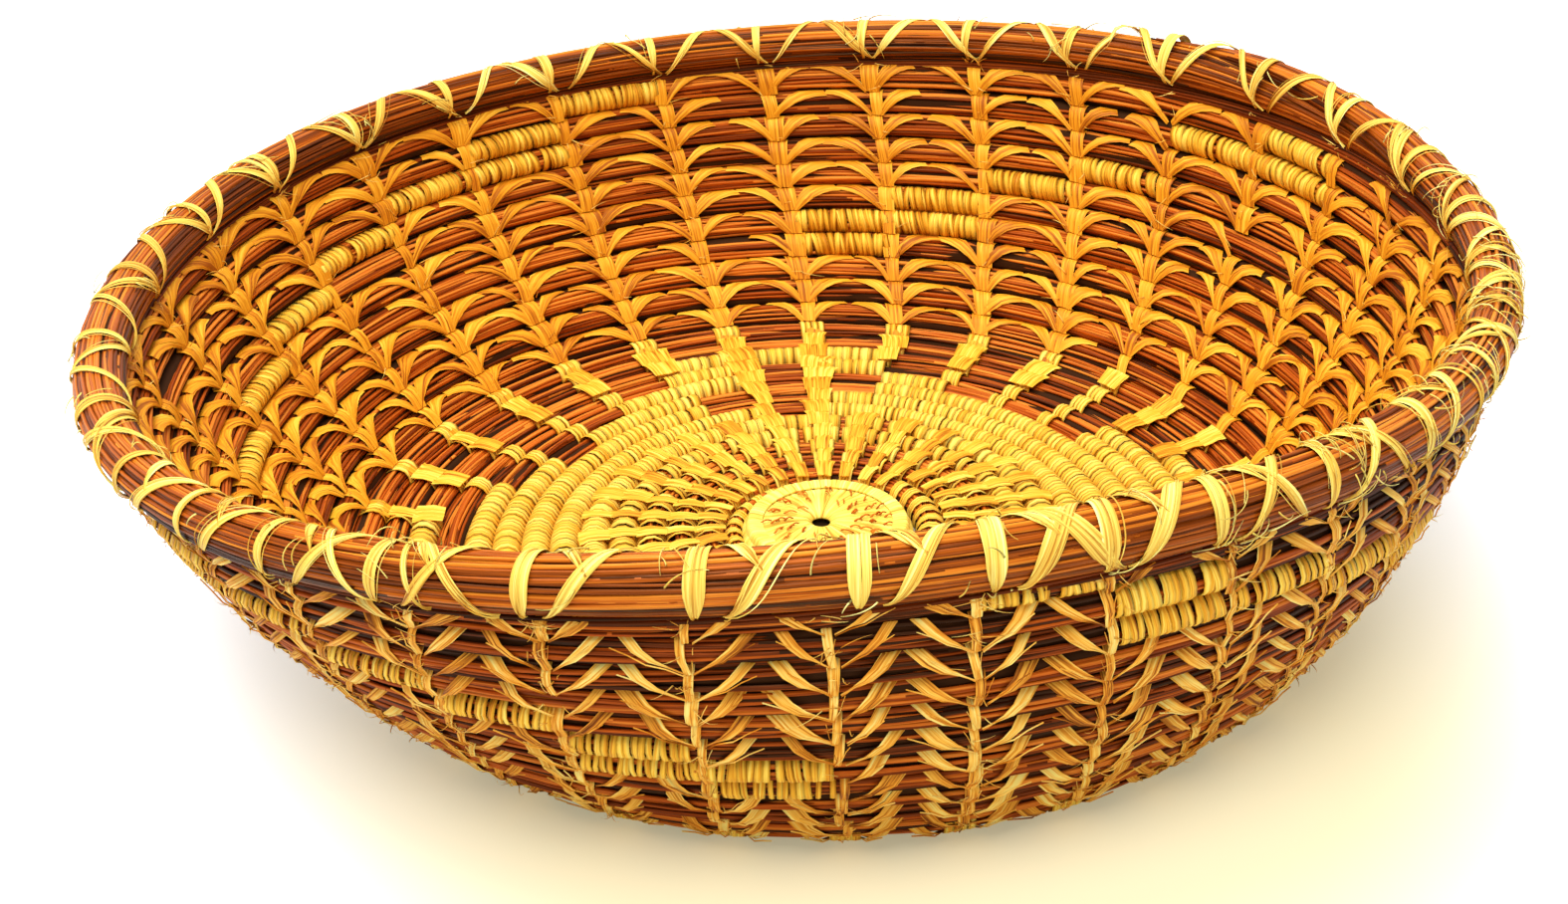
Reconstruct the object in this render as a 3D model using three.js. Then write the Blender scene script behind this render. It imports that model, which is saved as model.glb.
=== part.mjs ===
// A shallow coiled basket: a bundle of pine needles wound from a small disc out over a domed floor
// and up a leaning wall to a thick rim, held by lines of fibre stitches and stepped wrapped blocks.
// Millimetres, +Z up, the stitched front faces -Y.
import * as THREE from "three";

// Driving dimensions.
const RIM_PLAN_RADIUS = 144.84;
const RIM_HEIGHT = 71.79;
const RIM_CORD_HALF = 5.2;
const PITCH = 6.5;
const CORD_HALF_ACROSS = 2.98;
const CORD_HALF_DEEP = 3.1;
const CORD_FLAT_HALF = 1.8;
const FLOOR_RADIUS = 96;
const CORNER_RADIUS = 19;
const CORNER_TURN = Math.PI / 4;
const DOME_RISE = 3.2;
const DOME_RADIUS = 84;
const DISC_RADIUS = 18.9;
const DISC_HOLE_RADIUS = 1.75;
const BASE_SHIFT_X = 5.6;
const BASE_SHIFT_Y = -3.7;
const RIM_TIP = 6.11;
const RIM_PROUD = 2;
const RIBS = 33;
const FIRST_RIB_DEGREES = 7.2;
const STITCH_GAP = 0.35;
const STITCH_RIDGE = 0.75;
const STRAP_HALF_WIDTH = 2.6;
const FAN_FOOT_HALF_WIDTH = 1.3;
const FAN_SHARE = 0.19;
const BLOCK_SHARE = 0.23;
const BLOCK_THICK = 0.6;
const STAR_INNER = 51;
const STAR_MIDDLE = 70;
const STAR_OUTER = 80;
const STAR_THICK = 0.7;

// The wall is one arc from the corner's end to the rim's centre line.
const cornerEnd = {
  r: FLOOR_RADIUS + CORNER_RADIUS * Math.sin(CORNER_TURN),
  z: CORD_HALF_DEEP + CORNER_RADIUS * (1 - Math.cos(CORNER_TURN)),
};
const wallRun = RIM_PLAN_RADIUS - cornerEnd.r;
const wallRise = RIM_HEIGHT - cornerEnd.z;
const wallTurn = 2 * (Math.atan2(wallRise, wallRun) - CORNER_TURN);
const WALL_RADIUS = Math.hypot(wallRun, wallRise) / 2 / Math.sin(wallTurn / 2);
const CORNER_LENGTH = CORNER_RADIUS * CORNER_TURN;
const RIM_S = FLOOR_RADIUS + CORNER_LENGTH + WALL_RADIUS * wallTurn;

const clamp = (x, low, high) => Math.min(high, Math.max(low, x));
const smooth = (x) => {
  const t = clamp(x, 0, 1);
  return t * t * (3 - 2 * t);
};
const radians = (degrees) => (degrees * Math.PI) / 180;

// Radius, height and tilt of the section at a distance s from the centre, measured along it.
function profile(s) {
  if (s <= FLOOR_RADIUS) {
    const dome = DOME_RISE * Math.max(0, 1 - (s / DOME_RADIUS) ** 2);
    return { r: s, z: CORD_HALF_DEEP + dome, tilt: 0 };
  }
  if (s <= FLOOR_RADIUS + CORNER_LENGTH) {
    const tilt = (s - FLOOR_RADIUS) / CORNER_RADIUS;
    return {
      r: FLOOR_RADIUS + CORNER_RADIUS * Math.sin(tilt),
      z: CORD_HALF_DEEP + CORNER_RADIUS * (1 - Math.cos(tilt)),
      tilt,
    };
  }
  const tilt = CORNER_TURN + (s - FLOOR_RADIUS - CORNER_LENGTH) / WALL_RADIUS;
  return {
    r: cornerEnd.r + WALL_RADIUS * (Math.sin(tilt) - Math.sin(CORNER_TURN)),
    z: cornerEnd.z + WALL_RADIUS * (Math.cos(CORNER_TURN) - Math.cos(tilt)),
    tilt,
  };
}

// A point of the basket: angle round it, distance along the section, distance in from the cord's
// centre. The handmade shape leans, tips and goes slightly out of round towards the rim.
function place(angle, s, inward) {
  const p = profile(s);
  const r = p.r - inward * Math.sin(p.tilt);
  const z = p.z + inward * Math.cos(p.tilt);
  const up = s > FLOOR_RADIUS ? (p.z - CORD_HALF_DEEP) / (RIM_HEIGHT - CORD_HALF_DEEP) : 0;
  const round = 1 + up * (0.0126 * Math.cos(2 * angle) + 0.0269 * Math.sin(2 * angle));
  const tip =
    RIM_TIP *
    (0.831 * Math.cos(angle) -
      Math.sin(angle) -
      0.489 * Math.cos(2 * angle) -
      0.124 * Math.sin(2 * angle) -
      0.067 * Math.cos(3 * angle) +
      0.291 * Math.sin(3 * angle));
  return new THREE.Vector3(
    r * round * Math.cos(angle) + BASE_SHIFT_X * (1 - up),
    r * round * Math.sin(angle) + BASE_SHIFT_Y * (1 - up),
    z + up * tip,
  );
}

// Angle of a rib, counted anticlockwise in rib steps: spacing is uneven and the lines drift
// a little from the rim down to the corner.
function ribAngle(rib, s) {
  const base = radians(FIRST_RIB_DEGREES + (360 / RIBS) * rib);
  const rows = clamp((RIM_S - s) / PITCH, 0, 12.5);
  const uneven =
    2.2 -
    3.6 * Math.cos(base) -
    1.3 * Math.sin(base) +
    1.1 * Math.cos(2 * base) +
    1.1 * Math.sin(2 * base);
  const drift =
    -0.14 + 0.22 * Math.cos(base) - 0.13 * Math.sin(base) - 0.35 * Math.sin(2 * base);
  return base + radians(uneven + rows * drift);
}

const onRib = (rib, s, inward) => place(ribAngle(rib, s), s, inward);

// The winding runs anticlockwise and up. Position w counts rib steps from the place where the
// rim ends; the last turn narrows to nothing under the level rim.
const COIL_END_RIB = 4.3;
const LAST_TURN_ROOM = 1.3;
const RIM_UNDER = RIM_CORD_HALF / PITCH;
function cordAt(w) {
  const room = LAST_TURN_ROOM - w / RIBS;
  const full = 1 + 0.12 * smooth((w + 2) / 4);
  const scale = w > -2 ? Math.min(room, full) : 1;
  const depth = LAST_TURN_ROOM + RIM_UNDER - w / RIBS - scale / 2;
  return { s: RIM_S - PITCH * depth, scale };
}

// The rib at which a full-sized turn lies nearest to a distance from the centre.
function ribNearest(s) {
  const depth = (RIM_S - s) / PITCH;
  return Math.round(COIL_END_RIB + RIBS * (LAST_TURN_ROOM + RIM_UNDER - 0.5 - depth));
}

// The first turn starts as a thin wedge round the disc.
const DISC_EDGE = DISC_RADIUS + 0.03 * PITCH;
function startOf(cord) {
  const outer = cord.s + (PITCH / 2) * cord.scale;
  const width = Math.min(PITCH * cord.scale, outer - DISC_EDGE);
  return { s: outer - width / 2, scale: width / PITCH };
}

// Six points round the cord: the two flats lie inside and outside, the edges face its neighbours.
function cordSection(scale) {
  const across = (PITCH / 2) * scale - (PITCH / 2 - CORD_HALF_ACROSS);
  const deep = CORD_HALF_DEEP * Math.min(1, 0.35 + 0.65 * scale);
  const flat = CORD_FLAT_HALF * (across / CORD_HALF_ACROSS);
  return [
    [across, 0],
    [flat, deep],
    [-flat, deep],
    [-across, 0],
    [-flat, -deep],
    [flat, -deep],
  ];
}

// A closed mesh from rings of points with the same count, joined in order. The caps are strips
// between the first and the second half of a ring, which suits channel sections too.
function skin(rings) {
  const points = rings.flat();
  const n = rings[0].length;
  const faces = [];
  for (let i = 0; i + 1 < rings.length; i++) {
    for (let k = 0; k < n; k++) {
      const a = i * n + k;
      const b = i * n + ((k + 1) % n);
      faces.push([a, b, b + n], [a, b + n, a + n]);
    }
  }
  const last = (rings.length - 1) * n;
  for (let i = 0, j = n - 1; j - i > 1; i++, j--) {
    faces.push([i, j, i + 1], [last + i, last + i + 1, last + j]);
    if (j - i > 2) faces.push([i + 1, j, j - 1], [last + i + 1, last + j - 1, last + j]);
  }
  return solid(points, faces);
}

// A mesh geometry from points and faces, turned so that its faces point out.
function solid(points, faces) {
  let volume = 0;
  for (const [a, b, c] of faces) {
    volume += points[a].dot(new THREE.Vector3().crossVectors(points[b], points[c]));
  }
  const ordered = volume < 0 ? faces.map(([a, b, c]) => [a, c, b]) : faces;
  return new THREE.BufferGeometry()
    .setAttribute("position", new THREE.Float32BufferAttribute(points.flatMap((p) => p.toArray()), 3))
    .setIndex(ordered.flat());
}

const needles = new THREE.MeshStandardMaterial({ color: 0x8a4a20, roughness: 0.55 });
const rimNeedles = new THREE.MeshStandardMaterial({ color: 0x9c5424, roughness: 0.5 });
const raffia = new THREE.MeshStandardMaterial({ color: 0xe2b458, roughness: 0.7 });
const paleRaffia = new THREE.MeshStandardMaterial({ color: 0xf0d27a, roughness: 0.7 });

const basket = new THREE.Group();
basket.name = "pine_needle_basket";

function add(name, geometry, material) {
  const mesh = new THREE.Mesh(geometry, material);
  mesh.name = name;
  basket.add(mesh);
}

// One length of the thin coil, from one place in the winding to another.
function coil(from, to, step, sectionAt) {
  const rings = [];
  const steps = Math.round((to - from) / step);
  for (let i = 0; i <= steps; i++) {
    const rib = from + ((to - from) * i) / steps;
    const cord = sectionAt(rib - COIL_END_RIB);
    rings.push(cordSection(cord.scale).map(([ds, inward]) => onRib(rib, cord.s + ds, inward)));
  }
  return rings;
}

// The least distance between one turn and the next, on corners and on points between them.
function leastGap(rings, turn) {
  const samples = [];
  rings.forEach((ring, i) => {
    for (const k of [0, 3]) {
      samples.push({ at: i, p: ring[k] });
      if (i + 1 < rings.length) {
        const mid = ring[k].clone().lerp(rings[i + 1][k], 0.5);
        samples.push({ at: i + 0.5, p: mid });
      }
    }
  });
  let least = Infinity;
  for (const a of samples) {
    for (const b of samples) {
      const apart = b.at - a.at;
      if (apart > turn * 0.6 && apart < turn * 1.4) least = Math.min(least, a.p.distanceTo(b.p));
    }
  }
  return least;
}

// Floor coil, in 22 steps a turn, then wall coil, in one step a rib.
const FLOOR_STEP = 1.5;
const COIL_START = ribNearest(DISC_EDGE - 0.22 * PITCH);
const COIL_SPLIT = ribNearest(FLOOR_RADIUS + 0.1 * PITCH);
const COIL_FINISH = RIBS + 1;
const floorCord = (w) => {
  const cord = cordAt(w);
  return startOf({ s: cord.s - 0.07 * PITCH, scale: cord.scale });
};
const floorRings = coil(COIL_START, COIL_SPLIT - 0.02, FLOOR_STEP, floorCord);
const wallRings = coil(COIL_SPLIT + 0.02, COIL_FINISH, 1, cordAt);
add("base_coil", skin(floorRings), needles);
add("wall_coil", skin(wallRings), needles);
console.log(
  "least gap between turns: floor " +
    leastGap(floorRings, RIBS / FLOOR_STEP).toFixed(2) +
    " mm, wall " +
    leastGap(wallRings, RIBS).toFixed(2) +
    " mm",
);

// Rim coil: one turn of the thickened bundle. Its end lies over its own start in a long scarf,
// and stands a little proud there.
const SCARF_FROM = 1.9;
const SCARF_LENGTH = 2.4;
const scarfShare = (rib) => (rib - SCARF_FROM) / SCARF_LENGTH;
const proudAt = (rib) => RIM_PROUD * smooth((scarfShare(rib) + 0.6) / 1.2);

function rimSection(halfAcross, halfDeep, shift) {
  const corner = 1 / Math.cos(Math.PI / 8);
  return Array.from({ length: 8 }, (_, k) => {
    const turn = (Math.PI / 4) * (k + 0.5);
    return [
      shift + halfAcross * corner * Math.cos(turn),
      halfDeep * corner * Math.sin(turn),
    ];
  });
}

function rimCordAt(travel) {
  const rib = SCARF_FROM + travel;
  const onStart = travel / SCARF_LENGTH;
  const onEnd = (travel - RIBS) / SCARF_LENGTH;
  let half = RIM_CORD_HALF;
  let shift = 0;
  if (onStart < 1.5) {
    half = RIM_CORD_HALF * Math.min(1, 0.27 + 0.71 * onStart);
    shift = half - RIM_CORD_HALF;
  }
  if (onEnd > -0.5) {
    const narrowed = 0.22 * smooth((onEnd + 0.5) * 2) + 0.61 * Math.max(0, onEnd);
    half = RIM_CORD_HALF * (1 - narrowed);
    shift = RIM_CORD_HALF - half + proudAt(rib - RIBS);
  }
  const deep = RIM_CORD_HALF * (0.35 + (0.65 * half) / RIM_CORD_HALF);
  return { rib, section: rimSection(half, deep, shift) };
}

const rimRings = [];
const rimTravels = [0, 0.1];
for (let rib = 2; rib <= 36; rib++) {
  if (rib > 2) rimTravels.push(rib - SCARF_FROM);
}
rimTravels.push(RIBS + SCARF_LENGTH);
for (const travel of rimTravels) {
  const cord = rimCordAt(travel);
  rimRings.push(cord.section.map(([ds, inward]) => onRib(cord.rib, RIM_S + ds, inward)));
}
add("rim_coil", skin(rimRings), rimNeedles);

// The start of the winding: a stitched disc with a raised edge and a small hole off its centre.
function disc() {
  const sides = 18;
  const top = 2 * CORD_HALF_DEEP + DOME_RISE;
  const raised = 0.06 * CORD_HALF_DEEP;
  const rings = [
    { r: DISC_HOLE_RADIUS, z: top - 6 * raised, shift: 1 },
    { r: 0.71 * DISC_RADIUS, z: top - 4 * raised, shift: 0 },
    { r: 0.8 * DISC_RADIUS, z: top + raised, shift: 0 },
    { r: DISC_RADIUS, z: top - 3 * raised, shift: 0 },
    { r: DISC_RADIUS, z: DOME_RISE + 4 * raised, shift: 0 },
    { r: DISC_HOLE_RADIUS, z: DOME_RISE + 4 * raised, shift: 1 },
  ].map(({ r, z, shift }) => {
    return Array.from({ length: sides }, (_, k) => {
      const turn = (2 * Math.PI * k) / sides;
      return new THREE.Vector3(
        BASE_SHIFT_X - 0.97 * DISC_HOLE_RADIUS * shift + r * Math.cos(turn),
        BASE_SHIFT_Y + 1.25 * DISC_HOLE_RADIUS * shift + r * Math.sin(turn),
        z,
      );
    });
  });
  const faces = [];
  for (let i = 0; i < rings.length; i++) {
    const next = (i + 1) % rings.length;
    for (let k = 0; k < sides; k++) {
      const m = (k + 1) % sides;
      faces.push([i * sides + k, i * sides + m, next * sides + m]);
      faces.push([i * sides + k, next * sides + m, next * sides + k]);
    }
  }
  return solid(rings.flat(), faces);
}
add("centre_disc", disc(), paleRaffia);

// Star ring: wrapped blocks run together round the floor, reaching further out on some ribs.
function starRing() {
  const low = CORD_HALF_DEEP + STITCH_GAP;
  const high = low + STAR_THICK;
  const points = [];
  const faces = [];
  const reach = (rib) => ((rib % RIBS) % 4 < 2 ? STAR_OUTER : STAR_MIDDLE);
  const quad = (a, b, c, d) => faces.push([a, b, c], [a, c, d]);
  const corner = (rib, s) => {
    const first = points.length;
    points.push(onRib(rib, s, low), onRib(rib, s, high));
    return first;
  };
  const lines = Array.from({ length: RIBS }, (_, rib) => {
    const inner = corner(rib, STAR_INNER);
    const middle = corner(rib, STAR_MIDDLE);
    const outer = Math.max(reach(rib), reach(rib + RIBS - 1)) > STAR_MIDDLE;
    return { inner, middle, outer: outer ? corner(rib, STAR_OUTER) : middle };
  });
  for (let rib = 0; rib < RIBS; rib++) {
    const a = lines[rib];
    const b = lines[(rib + 1) % RIBS];
    quad(a.inner + 1, a.middle + 1, b.middle + 1, b.inner + 1);
    quad(a.inner, b.inner, b.middle, a.middle);
    quad(a.inner, a.inner + 1, b.inner + 1, b.inner);
    if (reach(rib) > STAR_MIDDLE) {
      quad(a.middle + 1, a.outer + 1, b.outer + 1, b.middle + 1);
      quad(a.middle, b.middle, b.outer, a.outer);
      quad(a.outer, b.outer, b.outer + 1, a.outer + 1);
      if (reach(rib + RIBS - 1) === STAR_MIDDLE) {
        quad(a.middle, a.outer, a.outer + 1, a.middle + 1);
      }
      if (reach(rib + 1) === STAR_MIDDLE) {
        quad(b.middle, b.middle + 1, b.outer + 1, b.outer);
      }
    } else {
      quad(a.middle, b.middle, b.middle + 1, a.middle + 1);
    }
  }
  return solid(points, faces);
}
add("star_ring", starRing(), paleRaffia);

// The rows crossed by a rib, from the rim down, each with its lower and upper edge.
function rowsAt(rib) {
  const rows = [];
  let w = rib - COIL_END_RIB;
  while (w < COIL_FINISH - COIL_END_RIB - RIBS) w += RIBS;
  while (w > COIL_FINISH - COIL_END_RIB) w -= RIBS;
  for (; w > COIL_SPLIT - COIL_END_RIB; w -= RIBS) {
    const cord = cordAt(w);
    const half = (PITCH / 2) * cord.scale;
    rows.push({ s: cord.s, low: cord.s - half, high: cord.s + half, scale: cord.scale });
  }
  return rows;
}

// One station of a stitch line: two edges against the coil and a ridge above them.
function station(rib, s, inward, halfWidth, lift) {
  const centre = onRib(rib, s, inward);
  const along = onRib(rib + 0.4, s, inward).sub(onRib(rib - 0.4, s, inward)).normalize();
  const ridge = onRib(rib, s + lift[0], inward + lift[1]);
  return [
    centre.clone().addScaledVector(along, -halfWidth),
    centre.clone().addScaledVector(along, halfWidth),
    ridge,
  ];
}

// A stitch line climbs the outside from the corner, one upward fan a row, straps over the rim,
// comes down the inside the same way and runs in across the floor to the star ring.
const ROWS_OUTSIDE_FROM = FLOOR_RADIUS + 1.2 * PITCH;
const ROWS_INSIDE_FROM = FLOOR_RADIUS + 0.5 * PITCH;
function stitchLine(rib) {
  const rows = rowsAt(rib).filter((row) => row.scale > 0.45);
  const spacing = (s) => (2 * Math.PI * profile(s).r) / RIBS;
  const outsideAt = (s, half) =>
    station(rib, s, -(CORD_HALF_DEEP + STITCH_GAP), half, [0, -STITCH_RIDGE]);
  const insideAt = (s, half) =>
    station(rib, s, CORD_HALF_DEEP + STITCH_GAP + 0.11 * half, half, [0, STITCH_RIDGE]);
  const rings = [];
  const upper = RIM_S - RIM_CORD_HALF - STITCH_GAP;
  for (const row of rows.filter((r) => r.low > ROWS_OUTSIDE_FROM).reverse()) {
    rings.push(outsideAt(row.low + STITCH_GAP, FAN_FOOT_HALF_WIDTH));
    rings.push(outsideAt(Math.min(row.high - STITCH_GAP, upper), FAN_SHARE * spacing(row.s)));
  }
  const over = RIM_CORD_HALF + STITCH_GAP + 0.05;
  const proud = rib > 0 && rib < 5 ? proudAt(rib) : 0;
  for (let k = 0; k < 6; k++) {
    const turn = Math.PI * (1.125 - 0.25 * k);
    const reach = over / Math.cos(Math.PI / 8);
    const rise = proud * clamp(Math.sin(turn) * 2, 0, 1);
    const lift = [STITCH_RIDGE * Math.sin(turn), STITCH_RIDGE * Math.cos(turn)];
    const inner = Math.cos(turn) > 0 ? 0.11 * STRAP_HALF_WIDTH : 0;
    rings.push(
      station(
        rib,
        RIM_S + reach * Math.sin(turn) + rise,
        reach * Math.cos(turn) + inner,
        STRAP_HALF_WIDTH,
        lift,
      ),
    );
  }
  for (const row of rows.filter((r) => r.low > ROWS_INSIDE_FROM)) {
    rings.push(insideAt(Math.min(row.high - STITCH_GAP, upper), FAN_SHARE * spacing(row.s)));
    rings.push(insideAt(row.low + STITCH_GAP, FAN_FOOT_HALF_WIDTH));
  }
  rings.push(insideAt(FLOOR_RADIUS, 1.5 * FAN_FOOT_HALF_WIDTH));
  rings.push(insideAt(STAR_OUTER + 0.3 * PITCH, FAN_FOOT_HALF_WIDTH));
  return skin(rings);
}
for (let rib = 0; rib < RIBS; rib++) {
  add("stitch_line_" + String(rib + 1).padStart(2, "0"), stitchLine(rib), raffia);
}

// A wrapped block covers one or two rows between two ribs, on the inside or the outside.
function wrappedBlock(rib, row, rowCount, side) {
  const ends = [rib, rib + 1].map((at) => {
    const top = at - COIL_END_RIB + (rib < COIL_END_RIB ? RIBS : 0);
    const low = [];
    const high = [];
    for (let k = 0; k < rowCount; k++) {
      const cord = cordAt(top - RIBS * (row + k));
      const half = (PITCH / 2) * cord.scale;
      const across = half - (PITCH / 2 - CORD_HALF_ACROSS);
      const edge = 0.87 * across + 0.6 * STITCH_GAP;
      const flat = CORD_FLAT_HALF * cord.scale;
      const side = 0.42 * CORD_HALF_DEEP;
      const inner = (ds, deep) => [cord.s + ds, deep + STITCH_GAP];
      const outer = (ds, deep) => [cord.s + ds, deep + STITCH_GAP + BLOCK_THICK];
      const slack = 0.4 * STITCH_GAP;
      low.push(inner(edge, side), inner(flat + slack, CORD_HALF_DEEP));
      low.push(inner(-flat - slack, CORD_HALF_DEEP), inner(-edge, side));
      high.push(outer(edge, side), outer(flat, CORD_HALF_DEEP));
      high.push(outer(-flat, CORD_HALF_DEEP), outer(-edge, side));
    }
    const outline = [...high, ...low.reverse()];
    return outline.map(([s, deep]) => onRib(at, s, side * deep));
  });
  const cut = (share) => ends[0].map((p, k) => p.clone().lerp(ends[1][k], share));
  return skin([cut(BLOCK_SHARE), cut(1 - BLOCK_SHARE)]);
}

// Stairs of blocks: each steps one row down as it goes one rib round.
const stairs = [
  { side: 1, steps: [[2, 1, 2], [3, 2, 1], [4, 4, 1], [5, 4, 1], [6, 5, 2], [7, 6, 2]] },
  { side: 1, steps: [[9, 0, 1], [10, 1, 2], [11, 2, 1], [12, 3, 1], [13, 4, 1], [14, 5, 1], [15, 6, 1]] },
  { side: -1, steps: [[20, 3, 1], [21, 4, 1], [22, 5, 2], [23, 6, 2]] },
  { side: -1, steps: [[25, 0, 1], [26, 1, 2], [27, 2, 1], [28, 3, 1]] },
];
let blocks = 0;
for (const { side, steps } of stairs) {
  for (const [rib, row, rowCount] of steps) {
    blocks += 1;
    add(
      "wrapped_block_" + String(blocks).padStart(2, "0"),
      wrappedBlock(rib, row, rowCount, side),
      paleRaffia,
    );
  }
}

// The frame: the centre of the box's bottom is the origin.
const box = new THREE.Box3().setFromObject(basket);
const centre = box.getCenter(new THREE.Vector3());
basket.position.set(-centre.x, -centre.y, -box.min.z);
basket.updateMatrixWorld(true);
const size = box.getSize(new THREE.Vector3());
console.log("size " + [size.x, size.y, size.z].map((v) => v.toFixed(2)).join(" x ") + " mm");
console.log("frame shift " + basket.position.toArray().map((v) => v.toFixed(3)).join(", "));

export default basket;
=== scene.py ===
import math

import bpy
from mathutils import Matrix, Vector


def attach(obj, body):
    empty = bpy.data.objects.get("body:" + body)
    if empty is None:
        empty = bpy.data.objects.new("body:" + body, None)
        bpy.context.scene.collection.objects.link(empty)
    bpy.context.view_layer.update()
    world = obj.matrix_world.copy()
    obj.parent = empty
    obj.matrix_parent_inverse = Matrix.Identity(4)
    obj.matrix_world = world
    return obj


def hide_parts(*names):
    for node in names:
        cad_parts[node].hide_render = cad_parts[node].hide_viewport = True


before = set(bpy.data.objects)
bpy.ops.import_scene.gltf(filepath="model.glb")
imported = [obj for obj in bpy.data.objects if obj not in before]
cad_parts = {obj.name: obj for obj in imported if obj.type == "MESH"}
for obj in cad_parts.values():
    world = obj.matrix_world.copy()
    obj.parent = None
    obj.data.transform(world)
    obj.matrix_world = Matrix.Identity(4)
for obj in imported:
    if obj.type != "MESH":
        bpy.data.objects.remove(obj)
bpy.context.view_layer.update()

# The camera stands where the photograph was taken from: in front of the basket and above it,
# close enough that the near rim looks a third larger than the far one.
lens = bpy.data.cameras.new("photo_camera")
lens.sensor_width = 36
lens.lens = 64.75
camera = bpy.data.objects.new("photo_camera", lens)
camera.location = (0, -0.5461, 0.3341)
camera.rotation_euler = [math.radians(turn) for turn in (60.549, 0.488, 0.15)]
bpy.context.scene.collection.objects.link(camera)
bpy.context.scene.camera = camera

# The coil. A bundle of dried pine needles winds anticlockwise from the disc out over the domed
# floor, round a soft corner and up the leaning wall. Needles are finite: each one surfaces,
# runs a few stitches along the bundle, and dives under its neighbours again.
ribs = 33
rib_angle = 2 * math.pi / ribs
first_rib_angle = math.radians(7.2)
pitch = 6.5
wall_rows = 12.5
rim_height = 71.79
rim_plan = 144.84
rim_cord = 5.2
disc_radius = 19
floor_radius = 96
floor_height = 3.1
floor_to_right = 5.6
floor_to_front = 3.7
whole_to_front = 0.27
dome_radius = 84
dome_height = 3.2
corner_radius = 19
corner_length = corner_radius * math.pi / 4
corner_r = floor_radius + corner_radius * math.sin(math.pi / 4)
corner_z = floor_height + corner_radius * (1 - math.cos(math.pi / 4))
wall_turn = 2 * (math.atan2(rim_height - corner_z, rim_plan - corner_r) - math.pi / 4)
wall_chord = math.hypot(rim_plan - corner_r, rim_height - corner_z)
wall_radius = wall_chord / 2 / math.sin(wall_turn / 2)
rim_run = floor_radius + corner_length + wall_radius * wall_turn
coil_end = 4.3


class Field:
    """A number that varies over a mesh, written as plain sums in a node tree."""

    tree = None

    def __init__(self, socket):
        self.socket = socket

    def __add__(self, other):
        return number("ADD", self, other)

    def __radd__(self, other):
        return number("ADD", other, self)

    def __sub__(self, other):
        return number("SUBTRACT", self, other)

    def __rsub__(self, other):
        return number("SUBTRACT", other, self)

    def __mul__(self, other):
        return number("MULTIPLY", self, other)

    def __rmul__(self, other):
        return number("MULTIPLY", other, self)

    def __truediv__(self, other):
        return number("DIVIDE", self, other)

    def __rtruediv__(self, other):
        return number("DIVIDE", other, self)

    def __pow__(self, other):
        return number("POWER", self, other)

    def __gt__(self, other):
        return number("GREATER_THAN", self, other)

    def __lt__(self, other):
        return number("LESS_THAN", self, other)


def node(kind, **settings):
    made = Field.tree.nodes.new(kind)
    for name, value in settings.items():
        setattr(made, name, value)
    return made


def feed(socket, value):
    if isinstance(value, Field):
        Field.tree.links.new(value.socket, socket)
    else:
        socket.default_value = value


def number(operation, *values):
    made = node("ShaderNodeMath", operation=operation)
    for socket, value in zip(made.inputs, values):
        feed(socket, value)
    return Field(made.outputs[0])


def at_least(low, value):
    return number("MAXIMUM", value, low)


def at_most(high, value):
    return number("MINIMUM", value, high)


def sine(angle):
    return number("SINE", angle)


def cosine(angle):
    return number("COSINE", angle)


def smooth(value):
    t = at_least(0, at_most(1, value))
    return t * t * (3 - 2 * t)


def either(test, yes, no):
    return no + test * (yes - no)


def absolute(value):
    return number("ABSOLUTE", value)


def whole(value):
    return number("FLOOR", value)


def remainder(value, count):
    return number("MODULO", value, count)


def near(value, centre, reach=0.1):
    """1 where the value is within reach of the centre, and 0 elsewhere."""
    return number("COMPARE", value, centre, reach)


def vector(x, y, z):
    made = node("ShaderNodeCombineXYZ")
    for socket, value in zip(made.inputs, (x, y, z)):
        feed(socket, value)
    return Field(made.outputs[0])


def split(value):
    made = node("ShaderNodeSeparateXYZ")
    feed(made.inputs[0], value)
    return [Field(output) for output in made.outputs]


def new_group(name, inputs, outputs):
    """A node group of numbers in and numbers or places out, opened for writing."""
    group = bpy.data.node_groups.new(name, "GeometryNodeTree")
    Field.tree = group
    for label in inputs:
        group.interface.new_socket(label, in_out="INPUT", socket_type="NodeSocketFloat")
    for label, kind in outputs.items():
        group.interface.new_socket(label, in_out="OUTPUT", socket_type=kind)
    given = node("NodeGroupInput")
    return group, [Field(output) for output in given.outputs[: len(inputs)]]


def close_group(values):
    result = node("NodeGroupOutput")
    for socket, value in zip(result.inputs, values):
        feed(socket, value)


def use(group, *values):
    placed = node("GeometryNodeGroup", node_tree=group)
    for socket, value in zip(placed.inputs, values):
        feed(socket, value)
    results = [Field(output) for output in placed.outputs]
    return results if len(results) > 1 else results[0]


# Where a point lies on the basket: rib counts round it, run is the way along the section from
# the centre, inward is the depth from the bundle's middle. Millimetres in, metres out. The ribs
# are a little uneven and drift down the wall, the mouth isn't quite round or level, and what
# would go through the table is pressed flat on it.
on_basket, (rib, run, inward) = new_group(
    "on_basket", ["Rib", "Run", "Inward"], {"Place": "NodeSocketVector"}
)
base = first_rib_angle + rib * rib_angle
rows_down = at_least(0, at_most(wall_rows, (rim_run - run) / pitch))
uneven = 2.2 - 3.6 * cosine(base) - 1.3 * sine(base) + 1.1 * cosine(base * 2) + 1.1 * sine(base * 2)
drift = 0.22 * cosine(base) - 0.14 - 0.13 * sine(base) - 0.35 * sine(base * 2)
angle = base + (uneven + rows_down * drift) * math.radians(1)
bend = at_least(0, at_most(math.pi / 4, (run - floor_radius) / corner_radius))
lean = at_least(0, (run - (floor_radius + corner_length)) / wall_radius) + math.pi / 4
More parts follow.
